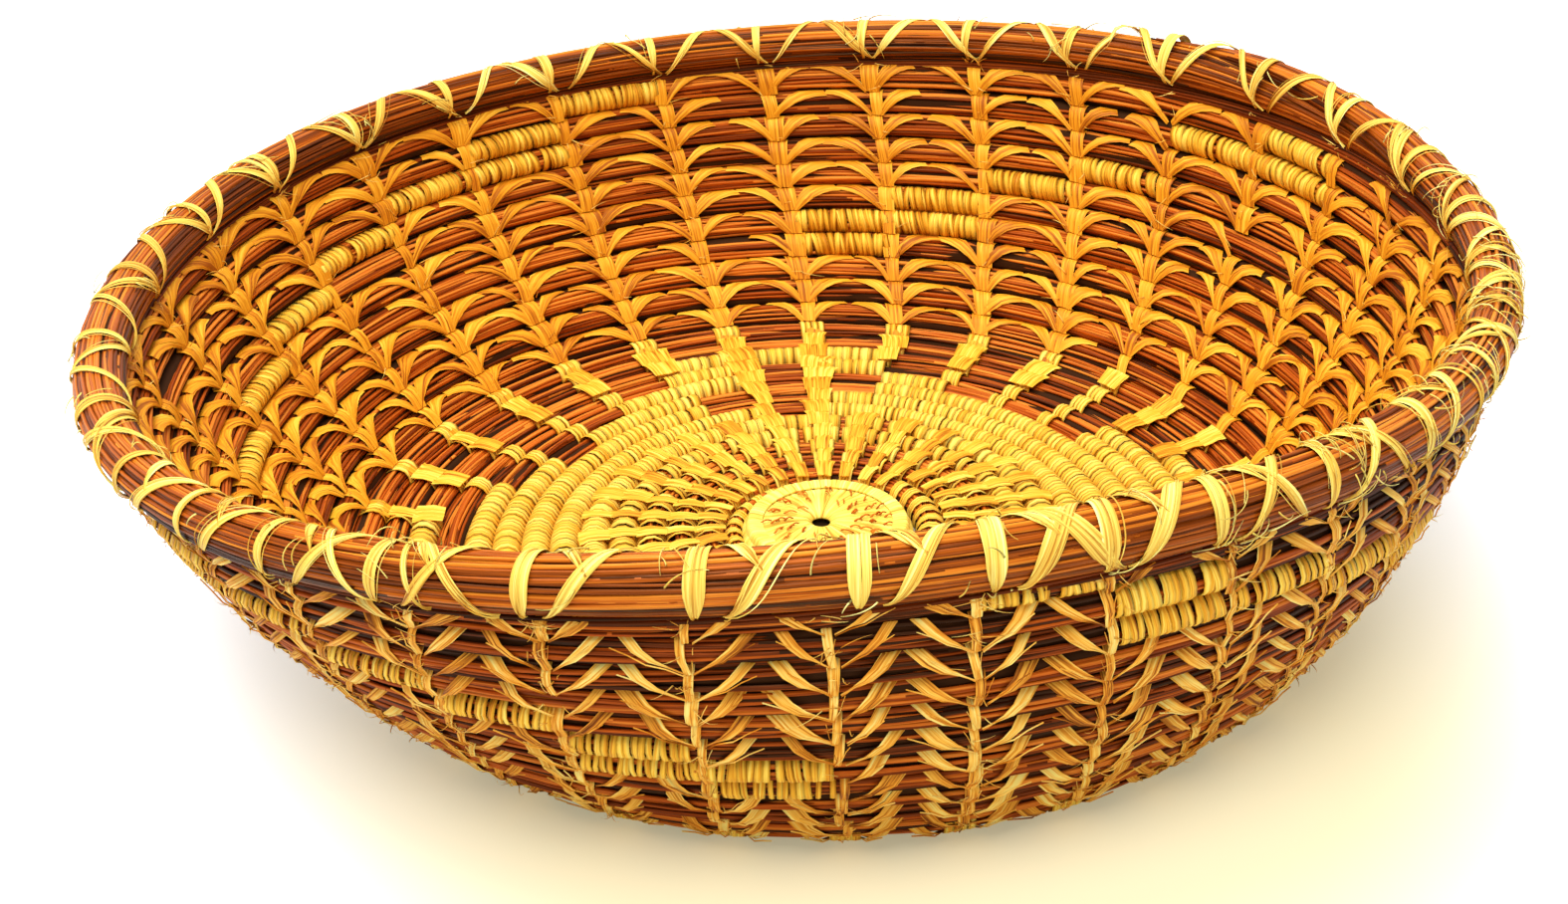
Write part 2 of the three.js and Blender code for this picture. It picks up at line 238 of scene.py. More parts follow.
tilt = bend + lean - math.pi / 4
on_floor = at_most(floor_radius, run)
dome = at_least(0, 1 - (on_floor / dome_radius) ** 2) * dome_height
radius = (
    on_floor
    + corner_radius * sine(bend)
    + wall_radius * (sine(lean) - math.sin(math.pi / 4))
)
height = (
    floor_height
    + dome
    + corner_radius * (1 - cosine(bend))
    + wall_radius * (math.cos(math.pi / 4) - cosine(lean))
)
up = (run > floor_radius) * (height - floor_height) / (rim_height - floor_height)
radius = radius - inward * sine(tilt)
height = height + inward * cosine(tilt)
roundness = 1 + up * (0.0126 * cosine(angle * 2) + 0.0269 * sine(angle * 2))
tip = (
    5.08 * cosine(angle)
    - 6.11 * sine(angle)
    - 2.99 * cosine(angle * 2)
    - 0.76 * sine(angle * 2)
    - 0.41 * cosine(angle * 3)
    + 1.78 * sine(angle * 3)
)
x = radius * roundness * cosine(angle) + floor_to_right * (1 - up)
y = radius * roundness * sine(angle) - floor_to_front * (1 - up) - whole_to_front
height = height + up * tip
pressed = number("EXPONENT", at_most(0, (height - 0.5) / 0.5)) * 0.5
height = at_least(0.5, height) - 0.5 + pressed
close_group([vector(x * 0.001, y * 0.001, height * 0.001)])

# The winding: its place along the section and its size, from the ribs passed. The last turn
# narrows under the rim and the first one starts as a wedge beside the disc.
winding, (passed,) = new_group(
    "winding", ["Ribs passed"], {"Run": "NodeSocketFloat", "Size": "NodeSocketFloat"}
)
turns = (passed - coil_end) / ribs
room = 1.3 - turns
size = either(
    (turns * ribs) > -2, at_most(room, 1 + 0.12 * smooth((turns * ribs + 2) / 4)), 1
)
outer = rim_run - pitch * (2.1 - turns) + pitch * size
size = at_most(outer - disc_radius, size * pitch) / pitch
close_group([outer - size * (pitch / 2), size])


def spacing_at(run):
    """Millimetres from one rib to the next."""
    out = at_most(floor_radius, run) + 0.78 * at_most(corner_length, at_least(0, run - floor_radius))
    return (out + 0.44 * at_least(0, run - (floor_radius + corner_length))) * rib_angle


def flatness(size):
    """How thick the bundle is from face to face: less where a turn is narrow."""
    return at_most(1, 0.35 + 0.65 * size)


def start_tree(name, sizes):
    """A tree with named sizes, whose modifier inputs are set by the sockets' identifiers."""
    tree = bpy.data.node_groups.new(name, "GeometryNodeTree")
    Field.tree = tree
    given = {}
    for label, value in sizes.items():
        kind = "NodeSocketInt" if isinstance(value, int) else "NodeSocketFloat"
        socket = tree.interface.new_socket(label, in_out="INPUT", socket_type=kind)
        given[socket.identifier] = value
    tree.interface.new_socket("Mesh", in_out="OUTPUT", socket_type="NodeSocketGeometry")
    entry = node("NodeGroupInput")
    return given, [Field(output) for output in entry.outputs[: len(sizes)]]


def chance(number_of_piece, seed, low=0.0, high=1.0):
    """A fixed random number for each piece."""
    made = node("FunctionNodeRandomValue", data_type="FLOAT")
    feed(made.inputs[2], low)
    feed(made.inputs[3], high)
    feed(made.inputs["ID"], number_of_piece)
    feed(made.inputs["Seed"], seed)
    return Field(made.outputs[1])


def strands(count, sides, steps, keep=None):
    """Unit strands, one for each piece: its number, the way along it, and the two directions
    across its section."""
    line = node("GeometryNodeMeshLine")
    feed(line.inputs["Count"], count)
    line.inputs["Offset"].default_value = (0, 0, 0)
    index = node("GeometryNodeInputIndex")
    tag = node("GeometryNodeStoreNamedAttribute", data_type="FLOAT", domain="POINT")
    feed(tag.inputs["Geometry"], Field(line.outputs[0]))
    tag.inputs["Name"].default_value = "piece"
    feed(tag.inputs["Value"], Field(index.outputs[0]))
    rod = node("GeometryNodeMeshCylinder", fill_type="NGON")
    rod.inputs["Vertices"].default_value = sides
    rod.inputs["Side Segments"].default_value = steps
    rod.inputs["Radius"].default_value = 1
    rod.inputs["Depth"].default_value = 1
    copies = node("GeometryNodeInstanceOnPoints")
    feed(copies.inputs["Points"], Field(tag.outputs[0]))
    feed(copies.inputs["Instance"], Field(rod.outputs["Mesh"]))
    if keep is not None:
        number_of_piece = Field(index.outputs[0])
        feed(copies.inputs["Selection"], keep(number_of_piece))
    real = node("GeometryNodeRealizeInstances")
    feed(real.inputs[0], Field(copies.outputs[0]))
    piece = node("GeometryNodeInputNamedAttribute", data_type="FLOAT")
    piece.inputs["Name"].default_value = "piece"
    across, lift, along = split(Field(node("GeometryNodeInputPosition").outputs[0]))
    return Field(real.outputs[0]), Field(piece.outputs[0]), along + 0.5, across, lift


def finish_tree(mesh, place, tone, fibre, material, ribbon=False):
    """Stores what the material reads, moves the strands into place and ends the tree. A ribbon
    keeps sharp side edges, so that it looks flat; a needle is round."""
    for label, kind, value in (("tone", "FLOAT", tone), ("fibre", "FLOAT_VECTOR", fibre)):
        stored = node("GeometryNodeStoreNamedAttribute", data_type=kind, domain="POINT")
        feed(stored.inputs["Geometry"], mesh)
        stored.inputs["Name"].default_value = label
        feed(stored.inputs["Value"], value)
        mesh = Field(stored.outputs[0])
    moved = node("GeometryNodeSetPosition")
    feed(moved.inputs["Geometry"], mesh)
    feed(moved.inputs["Position"], place)
    shaded = node("GeometryNodeSetShadeSmooth")
    feed(shaded.inputs["Geometry"], Field(moved.outputs[0]))
    if ribbon:
        sharp = node("GeometryNodeSetShadeSmooth", domain="EDGE")
        feed(sharp.inputs["Geometry"], Field(shaded.outputs[0]))
        corner = Field(node("GeometryNodeInputMeshEdgeAngle").outputs["Unsigned Angle"])
        feed(sharp.inputs["Selection"], corner > 1.0)
        sharp.inputs["Shade Smooth"].default_value = False
        shaded = sharp
    real = node("GeometryNodeRealizeInstances")
    feed(real.inputs[0], Field(shaded.outputs[0]))
    coated = node("GeometryNodeSetMaterial")
    feed(coated.inputs["Geometry"], Field(real.outputs[0]))
    coated.inputs["Material"].default_value = material
    close_group([Field(coated.outputs[0])])


def grow(name, given, material, slot, *replaced):
    """Runs the tree once and keeps the result as a plain mesh that rides on the basket."""
    seed = bpy.data.objects.new(name + "_seed", bpy.data.meshes.new(name + "_seed"))
    bpy.context.scene.collection.objects.link(seed)
    modifier = seed.modifiers.new(name, "NODES")
    modifier.node_group = Field.tree
    for identifier, value in given.items():
        modifier[identifier] = value
    grown = seed.evaluated_get(bpy.context.evaluated_depsgraph_get())
    mesh = bpy.data.meshes.new_from_object(grown)
    bpy.data.objects.remove(seed)
    mesh.materials.clear()
    mesh.materials.append(material)
    piece = bpy.data.objects.new(name, mesh)
    bpy.context.scene.collection.objects.link(piece)
    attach(piece, "root")
    if replaced:
        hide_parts(*replaced)
    return piece


def new_material(name, roughness, specular):
    material = bpy.data.materials.new(name)
    material.use_nodes = True
    Field.tree = material.node_tree
    shader = Field.tree.nodes["Principled BSDF"]
    shader.inputs["Roughness"].default_value = roughness
    shader.inputs["Specular IOR Level"].default_value = specular
    return material, shader


def read(label):
    made = node("ShaderNodeAttribute", attribute_name=label)
    return Field(made.outputs["Fac"] if label == "tone" else made.outputs["Vector"])


def drawn_out(fibre, across, along, detail):
    """Noise drawn out along a strand: 0 to 1."""
    x, y, z = split(fibre)
    made = node("ShaderNodeTexNoise")
    feed(made.inputs["Vector"], vector(x * across, y * along, z))
    made.inputs["Scale"].default_value = 1
    made.inputs["Detail"].default_value = detail
    return Field(made.outputs["Fac"])


# Plant strands are streaked along their length: broad streaks and fine ones, over a tone that
# differs from strand to strand.
strand_grain = bpy.data.node_groups.new("strand_grain", "ShaderNodeTree")
Field.tree = strand_grain
grain_values = ["Tone", "Tone share", "Broad across", "Broad along", "Broad share"]
grain_values += ["Fine across", "Fine along", "Fine share", "Lightness"]
strand_grain.interface.new_socket("Fibre", in_out="INPUT", socket_type="NodeSocketVector")
for label in grain_values:
    strand_grain.interface.new_socket(label, in_out="INPUT", socket_type="NodeSocketFloat")
for label in ("Shade", "Height"):
    strand_grain.interface.new_socket(label, in_out="OUTPUT", socket_type="NodeSocketFloat")
entry = node("NodeGroupInput")
fibre, tone, tone_share, *widths = [Field(output) for output in entry.outputs[:10]]
broad = drawn_out(fibre, widths[0], widths[1], 3)
fine = drawn_out(fibre, widths[3], widths[4], 2)
shade = tone * tone_share + (broad - 0.5) * widths[2] + (fine - 0.5) * widths[5] + widths[6]
close_group([at_least(0, at_most(1, shade)), broad * 0.5 + fine * 0.5])


def colours(value, stops):
    ramp = node("ShaderNodeValToRGB")
    feed(ramp.inputs[0], value)
    while len(ramp.color_ramp.elements) < len(stops):
        ramp.color_ramp.elements.new(0.5)
    for element, (place, colour) in zip(ramp.color_ramp.elements, stops):
        element.position = place
        element.color = (*colour, 1)
    return Field(ramp.outputs["Color"])


def strand_material(name, grain, stops, roughness, bump_strength, tint):
    """A satin plant strand: grain holds the shares and widths of its streaks, by name."""
    material, shader = new_material(name, roughness, specular=0.25)
    shader.inputs["Specular Tint"].default_value = (*tint, 1)
    streaked = node("ShaderNodeGroup", node_tree=strand_grain)
    feed(streaked.inputs["Fibre"], read("fibre"))
    feed(streaked.inputs["Tone"], read("tone"))
    for label, value in grain.items():
        streaked.inputs[label].default_value = value
    feed(shader.inputs["Base Color"], colours(Field(streaked.outputs["Shade"]), stops))
    bump = node("ShaderNodeBump")
    bump.inputs["Strength"].default_value = bump_strength
    bump.inputs["Distance"].default_value = 0.0003
    feed(bump.inputs["Height"], Field(streaked.outputs["Height"]))
    feed(shader.inputs["Normal"], Field(bump.outputs[0]))
    return material


# Dried needles, satin and finely streaked along their length, orange brown; the grooves of the
# bundle get painted shade. What lies inside the bundle is painted nearly black, as shade.
needle_grain = {
    "Tone share": 0.8,
    "Broad across": 1.3,
    "Broad along": 0.03,
    "Broad share": 0.9,
    "Fine across": 3.5,
    "Fine along": 0.04,
    "Fine share": 0.7,
    "Lightness": 0.1,
}
needle_tint = (1, 0.62, 0.3)
coil_needles = strand_material(
    "dried_needles",
    needle_grain,
    [
        (0.05, (0.02, 0.003, 0.0005)),
        (0.35, (0.21, 0.029, 0.0015)),
        (0.62, (0.48, 0.082, 0.004)),
        (0.95, (0.78, 0.24, 0.024)),
    ],
    roughness=0.45,
    bump_strength=0.4,
    tint=needle_tint,
)
# Nearly black painted shade, for what lies hidden inside the bundles and in the disc's hole.
painted_shade_stops = [(0.2, (0.006, 0.002, 0.001)), (0.8, (0.03, 0.008, 0.002))]
painted_shade_material = strand_material(
    "bundle_inside_painted_shade",
    needle_grain,
    painted_shade_stops,
    roughness=0.8,
    bump_strength=0.3,
    tint=needle_tint,
)

# The inside of the bundle: needles that never come to the top, as one smooth cord in nearly black
# painted shade that closes the gaps between the others. The winding is counted in ribs passed,
# below zero on the floor, up to where the last turn ends under the rim.
coil_from = -789.0
corner_from = -455.0
wall_from = -225.0
coil_to = 37.3
core_steps = 1654
core_sizes = {"First rib": coil_from, "Last rib": coil_to, "Half width": 3.4, "Half depth": 2.3}
given, (first, last, half_width, half_depth) = start_tree("bundle_core", core_sizes)
mesh, piece, along, across, lift = strands(1, sides=8, steps=core_steps)
rib = first + (last - first) * along
run, size = use(winding, rib)
place = use(
    on_basket,
    rib,
    run + across * half_width * size,
    lift * half_depth * flatness(size),
)
finish_tree(mesh, place, chance(piece, 3), vector(across * 3, along * 8000, 0), painted_shade_material)
grow("coil_core", given, painted_shade_material, "needle_coil")

# The last turn narrows away under the rim. A thin bundle of long needles lies in the groove that
# it leaves, held by the same stitches.
thin_needles = 14
drop = 6.4
given, (thickness, needle_radius, seed) = start_tree(
    "thin_turn_under_rim", {"Thickness": 1.7, "Needle radius": 0.5, "Seed": 11}
)
mesh, piece, along, across, lift = strands(thin_needles, sides=4, steps=200)
turn = piece * (2 * math.pi / thin_needles) + along * 9
place = use(
    on_basket,
    along * (ribs + 0.02),
    rim_run - drop + thickness * cosine(turn) + needle_radius * across,
    thickness * 1.3 * sine(turn) + needle_radius * lift,
)
fibre = vector(across + piece * 3.1, along * 900, lift + piece * 7.7)
# Its needles take a low tone: painted shadow under the rim.
finish_tree(mesh, place, chance(piece, seed, -0.1, 0.35), fibre, coil_needles)
grow("thin_turn_under_rim", given, coil_needles, "needle_coil")

# The needles on the floor, the corner and the wall, all laid by one rule: each follows the
# winding for a few ribs, keeps its place round the bundle or turns a little, and thins to a
# point where it dives in. Steps of the golden angle spread them evenly round the bundle.
golden_turn = 2.39996
mean_spacing = 22
for name, first_rib, last_rib, count, reach, replaced in (
    ("floor_needles", coil_from, corner_from, 1480, 6.0, ()),
    ("corner_needles", corner_from, wall_from, 1250, 5.0, ("base_coil",)),
    ("wall_needles", wall_from, coil_to, 1480, 5.0, ("wall_coil",)),
):
    sizes = {"First rib": first_rib, "Last rib": last_rib, "Needles": count, "Needle reach": reach}
    sizes = {**sizes, "Needle radius": 0.54, "Bundle radius": 2.72, "Seed": 7}
    given, given_sizes = start_tree(name, sizes)
    first, last, needles, needle_reach, needle_radius, bundle_radius, seed = given_sizes
    mesh, piece, along, across, lift = strands(needles, sides=4, steps=16)
    begin = first + (last - first) * piece / needles - needle_reach / 2
    begin = begin + chance(piece, seed, -2, 2)
    reach_here = needle_reach * chance(piece, seed + 1, 0.75, 1.25)
    low = at_least(first, begin)
    high = at_most(last, begin + reach_here)
    rib = low + (high - low) * along
    ends = absolute(along * 2 - 1)
    turn = piece * golden_turn + chance(piece, seed + 2, -0.35, 0.35) * (along * 2 - 1)
    turn = turn + 0.07 * sine(along * 9 + piece)
    deep = bundle_radius + chance(piece, seed + 3, -0.3, 0.22) - 1.1 * ends ** 4
    thick = needle_radius * chance(piece, seed + 4, 0.75, 1.2) * (1 - 0.75 * ends ** 8)
    run, size = use(winding, rib)
    place = use(
        on_basket,
        rib,
        run + (deep * cosine(turn)) * size + thick * across,
        (deep * sine(turn)) * flatness(size) + thick * lift,
    )
    length = reach_here * mean_spacing
    fibre = vector(across + piece * 3.1, along * length, lift + piece * 7.7)
    # The tone holds painted shade and light: darker in the grooves between turns, lighter on the
    # inner face, darker on the outer face just under the rim as its shadow, and darker on each
    # needle's side that faces into the bundle.
    inner_face = smooth(0.5 + sine(turn) * 1.3)
    tone = chance(piece, seed + 5) - (0.55 - 0.35 * inner_face) * cosine(turn) ** 4
    under_rim = smooth((run - rim_run + 19) / 7) * (1 - inner_face)
    outward = across * cosine(turn) + lift * sine(turn)
    tone = tone + 0.26 * inner_face - 0.2 - 0.22 * under_rim + 0.22 * outward
    finish_tree(mesh, place, tone, fibre, coil_needles)
    grow(name, given, coil_needles, "needle_coil", *replaced)

# The rim is one turn of a thicker bundle that closes the mouth, with glossy brown needles on top.
# Its last end lies on its own start and stands a little proud there, with the cut ends showing.
rim_material = strand_material(
    "rim_needles",
    needle_grain,
    [
        (0.05, (0.03, 0.005, 0.001)),
        (0.35, (0.20, 0.036, 0.002)),
        (0.6, (0.45, 0.09, 0.005)),
        (0.92, (0.78, 0.25, 0.02)),
    ],
    roughness=0.33,
    bump_strength=0.45,
    tint=needle_tint,
)
scarf_from = 1.9
scarf_length = 2.4
lead_in = 1.7

rim_bundle, (travel,) = new_group(
    "rim_bundle", ["Travel"], {"Half": "NodeSocketFloat", "Shift": "NodeSocketFloat"}
)
on_start = travel / scarf_length
on_end = (travel - ribs) / scarf_length
start_half = at_most(rim_cord, 2.9 + 3.0 * on_start)
tail_half = rim_cord - 1.15 * smooth((on_end + 0.5) * 2) - at_least(0, on_end) * 3.0
proud = 2 * smooth((on_end + 0.6) / 1.2) - 1.1 * smooth(on_end * 2 - 1)
half = at_most(start_half, tail_half)
shift = either(on_start < 2, half - rim_cord, rim_cord - half + proud)
close_group([half, shift])

given, (needles, needle_radius, seed) = start_tree(
    "rim_needles", {"Needles": 560, "Needle radius": 0.52, "Seed": 21}
)
mesh, piece, along, across, lift = strands(needles, sides=5, steps=24)
before = 4
low = (piece / needles) * (ribs + scarf_length + before) - before + chance(piece, seed, -1, 1)
high = low + chance(piece, seed + 1, 5, 8)
low = at_least(-lead_in, at_most(ribs, low))
high = at_most(ribs + scarf_length - chance(piece, seed + 6, 0, 0.9), high)
travel = low + (high - low) * along
ends = absolute(along * 2 - 1)
turn = piece * golden_turn + chance(piece, seed + 2, -0.3, 0.3) * (along * 2 - 1)
half, shift = use(rim_bundle, travel)
deep = (half - 0.5) * (1 - 0.22 * ends ** 4) + chance(piece, seed + 3, -0.35, 0.15)
thick = needle_radius * chance(piece, seed + 4, 0.7, 1.15)
place = use(
    on_basket,
    travel + scarf_from,
    rim_run + shift + deep * cosine(turn) + thick * across,
    deep * sine(turn) + thick * lift,
)
fibre = vector(across + piece * 3.1, along * 170, lift + piece * 7.7)
# The tone holds painted light and shade: lighter on top of the rim and darker below it, and darker
# on each needle's side that faces into the bundle.
outward = across * cosine(turn) + lift * sine(turn)
tone = chance(piece, seed + 5) + 0.25 * cosine(turn) + 0.25 * outward - 0.36
finish_tree(mesh, place, tone, fibre, rim_material)
grow("rim_needle_bundle", given, rim_material, "rim_needles", "rim_coil")

# The inside of the rim's bundle: the same smooth cord in nearly black painted shade, thinner than
# the bundle by the cover, so that it stays hidden in its needles right to the end of the scarf.
given, (cover,) = start_tree("rim_core", {"Cover": 0.62})
mesh, piece, along, across, lift = strands(1, sides=10, steps=260)
travel = along * (ribs + scarf_length + lead_in) - lead_in
half, shift = use(rim_bundle, travel)
place = use(
    on_basket,
    travel + scarf_from,
    rim_run + shift + (half - cover) * across,
    (half - cover) * lift,
)
finish_tree(mesh, place, chance(piece, 3), vector(across * 3, along * 900, 0), painted_shade_material)
grow("rim_core", given, painted_shade_material, "rim_needles")

# Fibre stitches. Split plant fibre binds each turn to the one below at every rib: a short upright
# in the middle, and an arm to either side that leaves its foot narrow, fans out wide over the
# bundle and dives into the groove above.
fibre_grain = {
    "Tone share": 0.5,
    "Broad across": 1.7,
    "Broad along": 0.05,
    "Broad share": 1.4,
    "Fine across": 3.6,
    "Fine along": 0.08,
    "Fine share": 1.5,
    "Lightness": 0.22,
}
fibre_tint = (1, 0.85, 0.5)
stitch_fibre = strand_material(
    "split_fibre",
    fibre_grain,
    [
        (0.02, (0.22, 0.05, 0.003)),
        (0.28, (0.70, 0.24, 0.012)),
        (0.55, (0.93, 0.48, 0.055)),
        (0.9, (0.97, 0.77, 0.21)),
    ],
    roughness=0.5,
    bump_strength=0.6,
    tint=fibre_tint,
)
inside_fibre = strand_material(
    "golden_fibre",
    fibre_grain,
    [
        (0.02, (0.34, 0.075, 0.002)),
        (0.3, (0.66, 0.22, 0.006)),
        (0.6, (0.84, 0.35, 0.013)),
        (0.95, (0.95, 0.52, 0.045)),
    ],
    roughness=0.5,
    bump_strength=0.6,
    tint=fibre_tint,
)
pattern_fibre = strand_material(
    "pattern_fibre",
    fibre_grain,
    [
        (0.02, (0.42, 0.12, 0.004)),
        (0.3, (0.76, 0.32, 0.014)),
        (0.6, (0.93, 0.52, 0.04)),
        (0.95, (0.99, 0.74, 0.13)),
    ],
    roughness=0.5,
    bump_strength=0.5,
    tint=fibre_tint,
)


def in_stairs(rib, row):
    """Whether a wrapped block stands between this rib and the next in this row. The stairs step
    down one row at each rib, and a new flight starts at every eighth."""
    step = remainder(rib + 7, 8) + near(rib, 4)
    high = step + near(step, 1) + near(step, 5.5, 0.6)
    high = high - near(rib, 14.5, 0.6)
    return (rib > 0.5) * (row > step - 0.5) * (row < high + 0.5) * (step < 6.5)


def ribs_passed(rib, row):
    """How far along the winding a rib lies, this many rows below the rim."""
    return rib - coil_end + ribs * (rib < coil_end) - ribs * row + coil_end


stitch_lines = [f"stitch_line_{i:02d}" for i in range(1, ribs + 1)]
stitch_kinds = 3
star_from = 54
star_to = 88
stitch_sizes = {
    "First row": 0,
    "Rows": 12,
    "Splits": 3,
    "Side": 1.0,
    "Reach": 0.5,
    "Width": 1.25,
    "Foot share": 0.6,
    "Upright share": 1.25,
    "Curve": 2.3,
    "Cut": 0.0,
    "Bridge": 0.0,
    "Half row": 3.15,
    "Face depth": 3.35,
    "Seed": 60,
}
outside_look = {
    "Splits": 4,
    "Side": -1.0,
    "Reach": 0.42,
    "Width": 0.74,
    "Foot share": 0.2,
    "Upright share": 1.0,
    "Curve": 1.12,
    "Cut": 1.0,
    "Seed": 40,
}
floor_look = {"First row": 12, "Upright share": 2.0, "Bridge": 0.85, "Seed": 80}
for name, changes, material, nodes in (
    ("outside_wall_stitches", outside_look, stitch_fibre, stitch_lines),
    ("inside_wall_stitches", {}, inside_fibre, []),
    ("floor_stitches", floor_look, pattern_fibre, []),
    ("underside_stitches", {**outside_look, "First row": 12, "Splits": 3}, stitch_fibre, []),
):
    sizes = {**stitch_sizes, **changes}
    given, given_sizes = start_tree(name, sizes)
    first_row, rows, splits, side, reach, width = given_sizes[:6]
    foot_share, upright_share, curve, cut, bridge, half_row, face_depth, seed = given_sizes[6:]

    def stitch_at(piece):
        """Of three kinds: an upright, an arm to the left and an arm to the right."""
        stitch = whole(piece / splits)
        kind = remainder(stitch, stitch_kinds)
        rib = remainder(whole(stitch / stitch_kinds), ribs)
        row = whole(stitch / (stitch_kinds * ribs)) + first_row
        return stitch, kind, rib, row

    def stitch_shown(piece):
        """No arm goes into a wrapped block or lies on the floor, and the wraps of the star hide
        its stitches, except beside the windows."""
        stitch, kind, rib, row = stitch_at(piece)
        run, size = use(winding, ribs_passed(rib, row))
        left = near(kind, 1)
        right = near(kind, 2)
        behind = remainder(rib + ribs - 1, ribs)
        block = left * in_stairs(behind, row + near(rib, 5))
        block = block + right * in_stairs(rib, row)
        bare = (left + right) * (row > 10.5) * (side > 0)
        in_star = (run > star_from) * (run < star_to) * (bridge > 0) * (1 - near(rib, 8.5, 0.6))
        bare = at_most(1, bare + in_star)
        return (size > 0.45) * (1 - block) * (chance(stitch, 5) > 0.03) * (1 - bare)

    count = ribs * stitch_kinds * rows * splits
    steps = 8 - sizes["Splits"]
    mesh, piece, along, across, lift = strands(count, sides=4, steps=steps, keep=stitch_shown)
    stitch, kind, rib, row = stitch_at(piece)
    part = remainder(piece, splits)
    hair = near(part, 3)
    passed = ribs_passed(rib, row)
    run, size = use(winding, passed)
    spacing = spacing_at(run)
    half = half_row * size
    left = near(kind, 1)
    right = near(kind, 2)
    arm = left + right
    foot = chance(stitch, seed, -0.5, 0.5) - 0.5 * left + 1.3 * right
    tip = (right - left) * reach * spacing * chance(stitch, seed + 1, 0.78, 1.08)
    tip = tip + (1 - arm) * chance(stitch, seed + 2, -0.9, 0.9)
    tip = tip + hair * chance(piece, seed + 8, -2.2, 2.2)
    foot = foot * at_most(1, spacing / 18)
    rise = 1 - (1 - along) ** curve
    fan = foot_share + (1 - foot_share) * smooth(along * 1.6)
    wide = width * chance(stitch, seed + 3, 0.75, 1.25) * either(arm, fan, upright_share)
    wide = wide * at_most(1, spacing / 20 + 0.2) * either(hair, 0.7, 1)
    apart = (part - 1) * (0.55 + 0.25 * along) + chance(piece, seed + 6, -0.2, 0.2)
    apart = either(hair, chance(piece, seed + 10, -1.3, 1.3), apart)
    slope = number("ARCTANGENT", half * 2.2 / (absolute(tip - foot) + 0.01))
    turned = either(tip > foot, 1, -1)
    over = wide * (apart + across * either(hair, 0.16, 0.56))
    cut_here = cut * along * arm
    lean = either(cut_here, 1 / at_least(0.4, sine(slope)), sine(slope))
    x = foot + (tip - foot) * along - over * turned * lean
    y = half * (2.25 * rise - 1.2) + over * cosine(slope) * (1 - cut_here)
    y = at_least(half * -1.25, at_most(half * (1.04 + hair * 0.3), y))
    bulge = number("SQRT", at_least(0.02, 1 - (y / (half * 1.07)) ** 2))
    bulge = at_least(bulge, 0.72 * (1 - smooth(along * 1.6)))
    bulge = at_least(bulge, at_least(hair * 0.8, bridge * (1 - arm)))
    above = face_depth * flatness(size) * bulge + 0.2 + bridge * 0.6 + lift * 0.15
    stands_off = hair * chance(piece, seed + 11, 0.2, 1.2) * along
    above = above + chance(piece, seed + 4, 0, 0.3) + stands_off
    passed_here = passed + x / spacing
    run_here = use(winding, passed_here)[0]
    place = use(on_basket, passed_here, run_here + y, above * side)
    fibre = vector(over + stitch * 1.7, along * 14, stitch * 3.3)
    tone = chance(stitch, seed + 5) * 0.7 + chance(piece, seed + 7) * 0.4 - 0.06 - 0.04 * side
    # The arms are darker at the foot, which lies in the groove below: painted shade.
    tone = tone - 0.25 * (1 - smooth(along * 3)) * arm
    finish_tree(mesh, place, tone, fibre, material, ribbon=True)
    grow(name, given, material, "stitch_fibre", *nodes)

# Rim straps. Wider fibres go over the rim at every rib, and between them slanting ones climb the
# outside, cross the top and come down to the next rib's foot on the inside.
strap_grain = {
    "Tone share": 0.45,
    "Broad across": 1.6,
    "Broad along": 0.03,
    "Broad share": 1.4,
    "Fine across": 3.4,
    "Fine along": 0.05,
    "Fine share": 1.5,
    "Lightness": 0.25,
}
strap_fibre = strand_material(
    "strap_fibre",
    strap_grain,
    [
        (0.02, (0.42, 0.15, 0.01)),
        (0.25, (0.76, 0.42, 0.05)),
        (0.6, (0.93, 0.72, 0.13)),
        (0.95, (0.99, 0.93, 0.34)),
    ],
    roughness=0.45,
    bump_strength=0.9,
    tint=fibre_tint,
)
rim_spacing = 27.5
given, (kinds, splits, width, seed) = start_tree(
    "rim_straps", {"Kinds": 5, "Splits": 7, "Strap width": 1.9, "Seed": 130}
)


def strap_shown(piece):
    """The upright, slanting and inner straps go on every rib, crossing and thin ones on some."""
    strap = whole(piece / splits)
    kind = remainder(strap, kinds)
    rib = whole(strap / kinds)
    crossing = near(rib, 20.5, 0.6) + near(rib, 25)
    crossing = crossing + near(rib, 27.5, 0.6) + near(rib, 30.5, 0.6)
    crossing = crossing + near(rib, 1) + near(rib, 17)
    thin = chance(strap, 9) > 0.8 - 0.45 * (absolute(rib - 17) < 1.6) - 0.5 * (rib > 27.5)
    return (kind < 2.5) + near(kind, 3) * crossing + (kind > 3.5) * thin


count = ribs * kinds * splits
mesh, piece, along, across, lift = strands(count, sides=4, steps=24, keep=strap_shown)
strap = whole(piece / splits)
part = remainder(piece, splits)
hair = part > 4.5
kind = remainder(strap, kinds)
rib = whole(strap / kinds)
upright = near(kind, 0)
slanting = near(kind, 1)
inner = near(kind, 2)
crossing = near(kind, 3)
thin = near(kind, 4)
from_turn = -1.0 + inner * 1.9
turn = from_turn + (4.1 - from_turn) * along
begin = slanting * chance(strap, seed, 0.1, 0.18) + inner * 0.45
begin = begin + crossing * chance(strap, seed + 8, 0.8, 0.95) + thin * chance(strap, seed + 9)
end = slanting * chance(strap, seed + 1, 0.85, 1.0) + inner * -0.05
end = end + crossing * chance(strap, seed + 10, -0.05, 0.15)
end = end + thin * chance(strap, seed + 11, -0.1, 1.1)
sway = 0.04 + 0.2 * sine((rib - 22.45) * (rib_angle * 5))
swing = sway * (1 - cosine((rib - 7.7) * rib_angle)) / 2
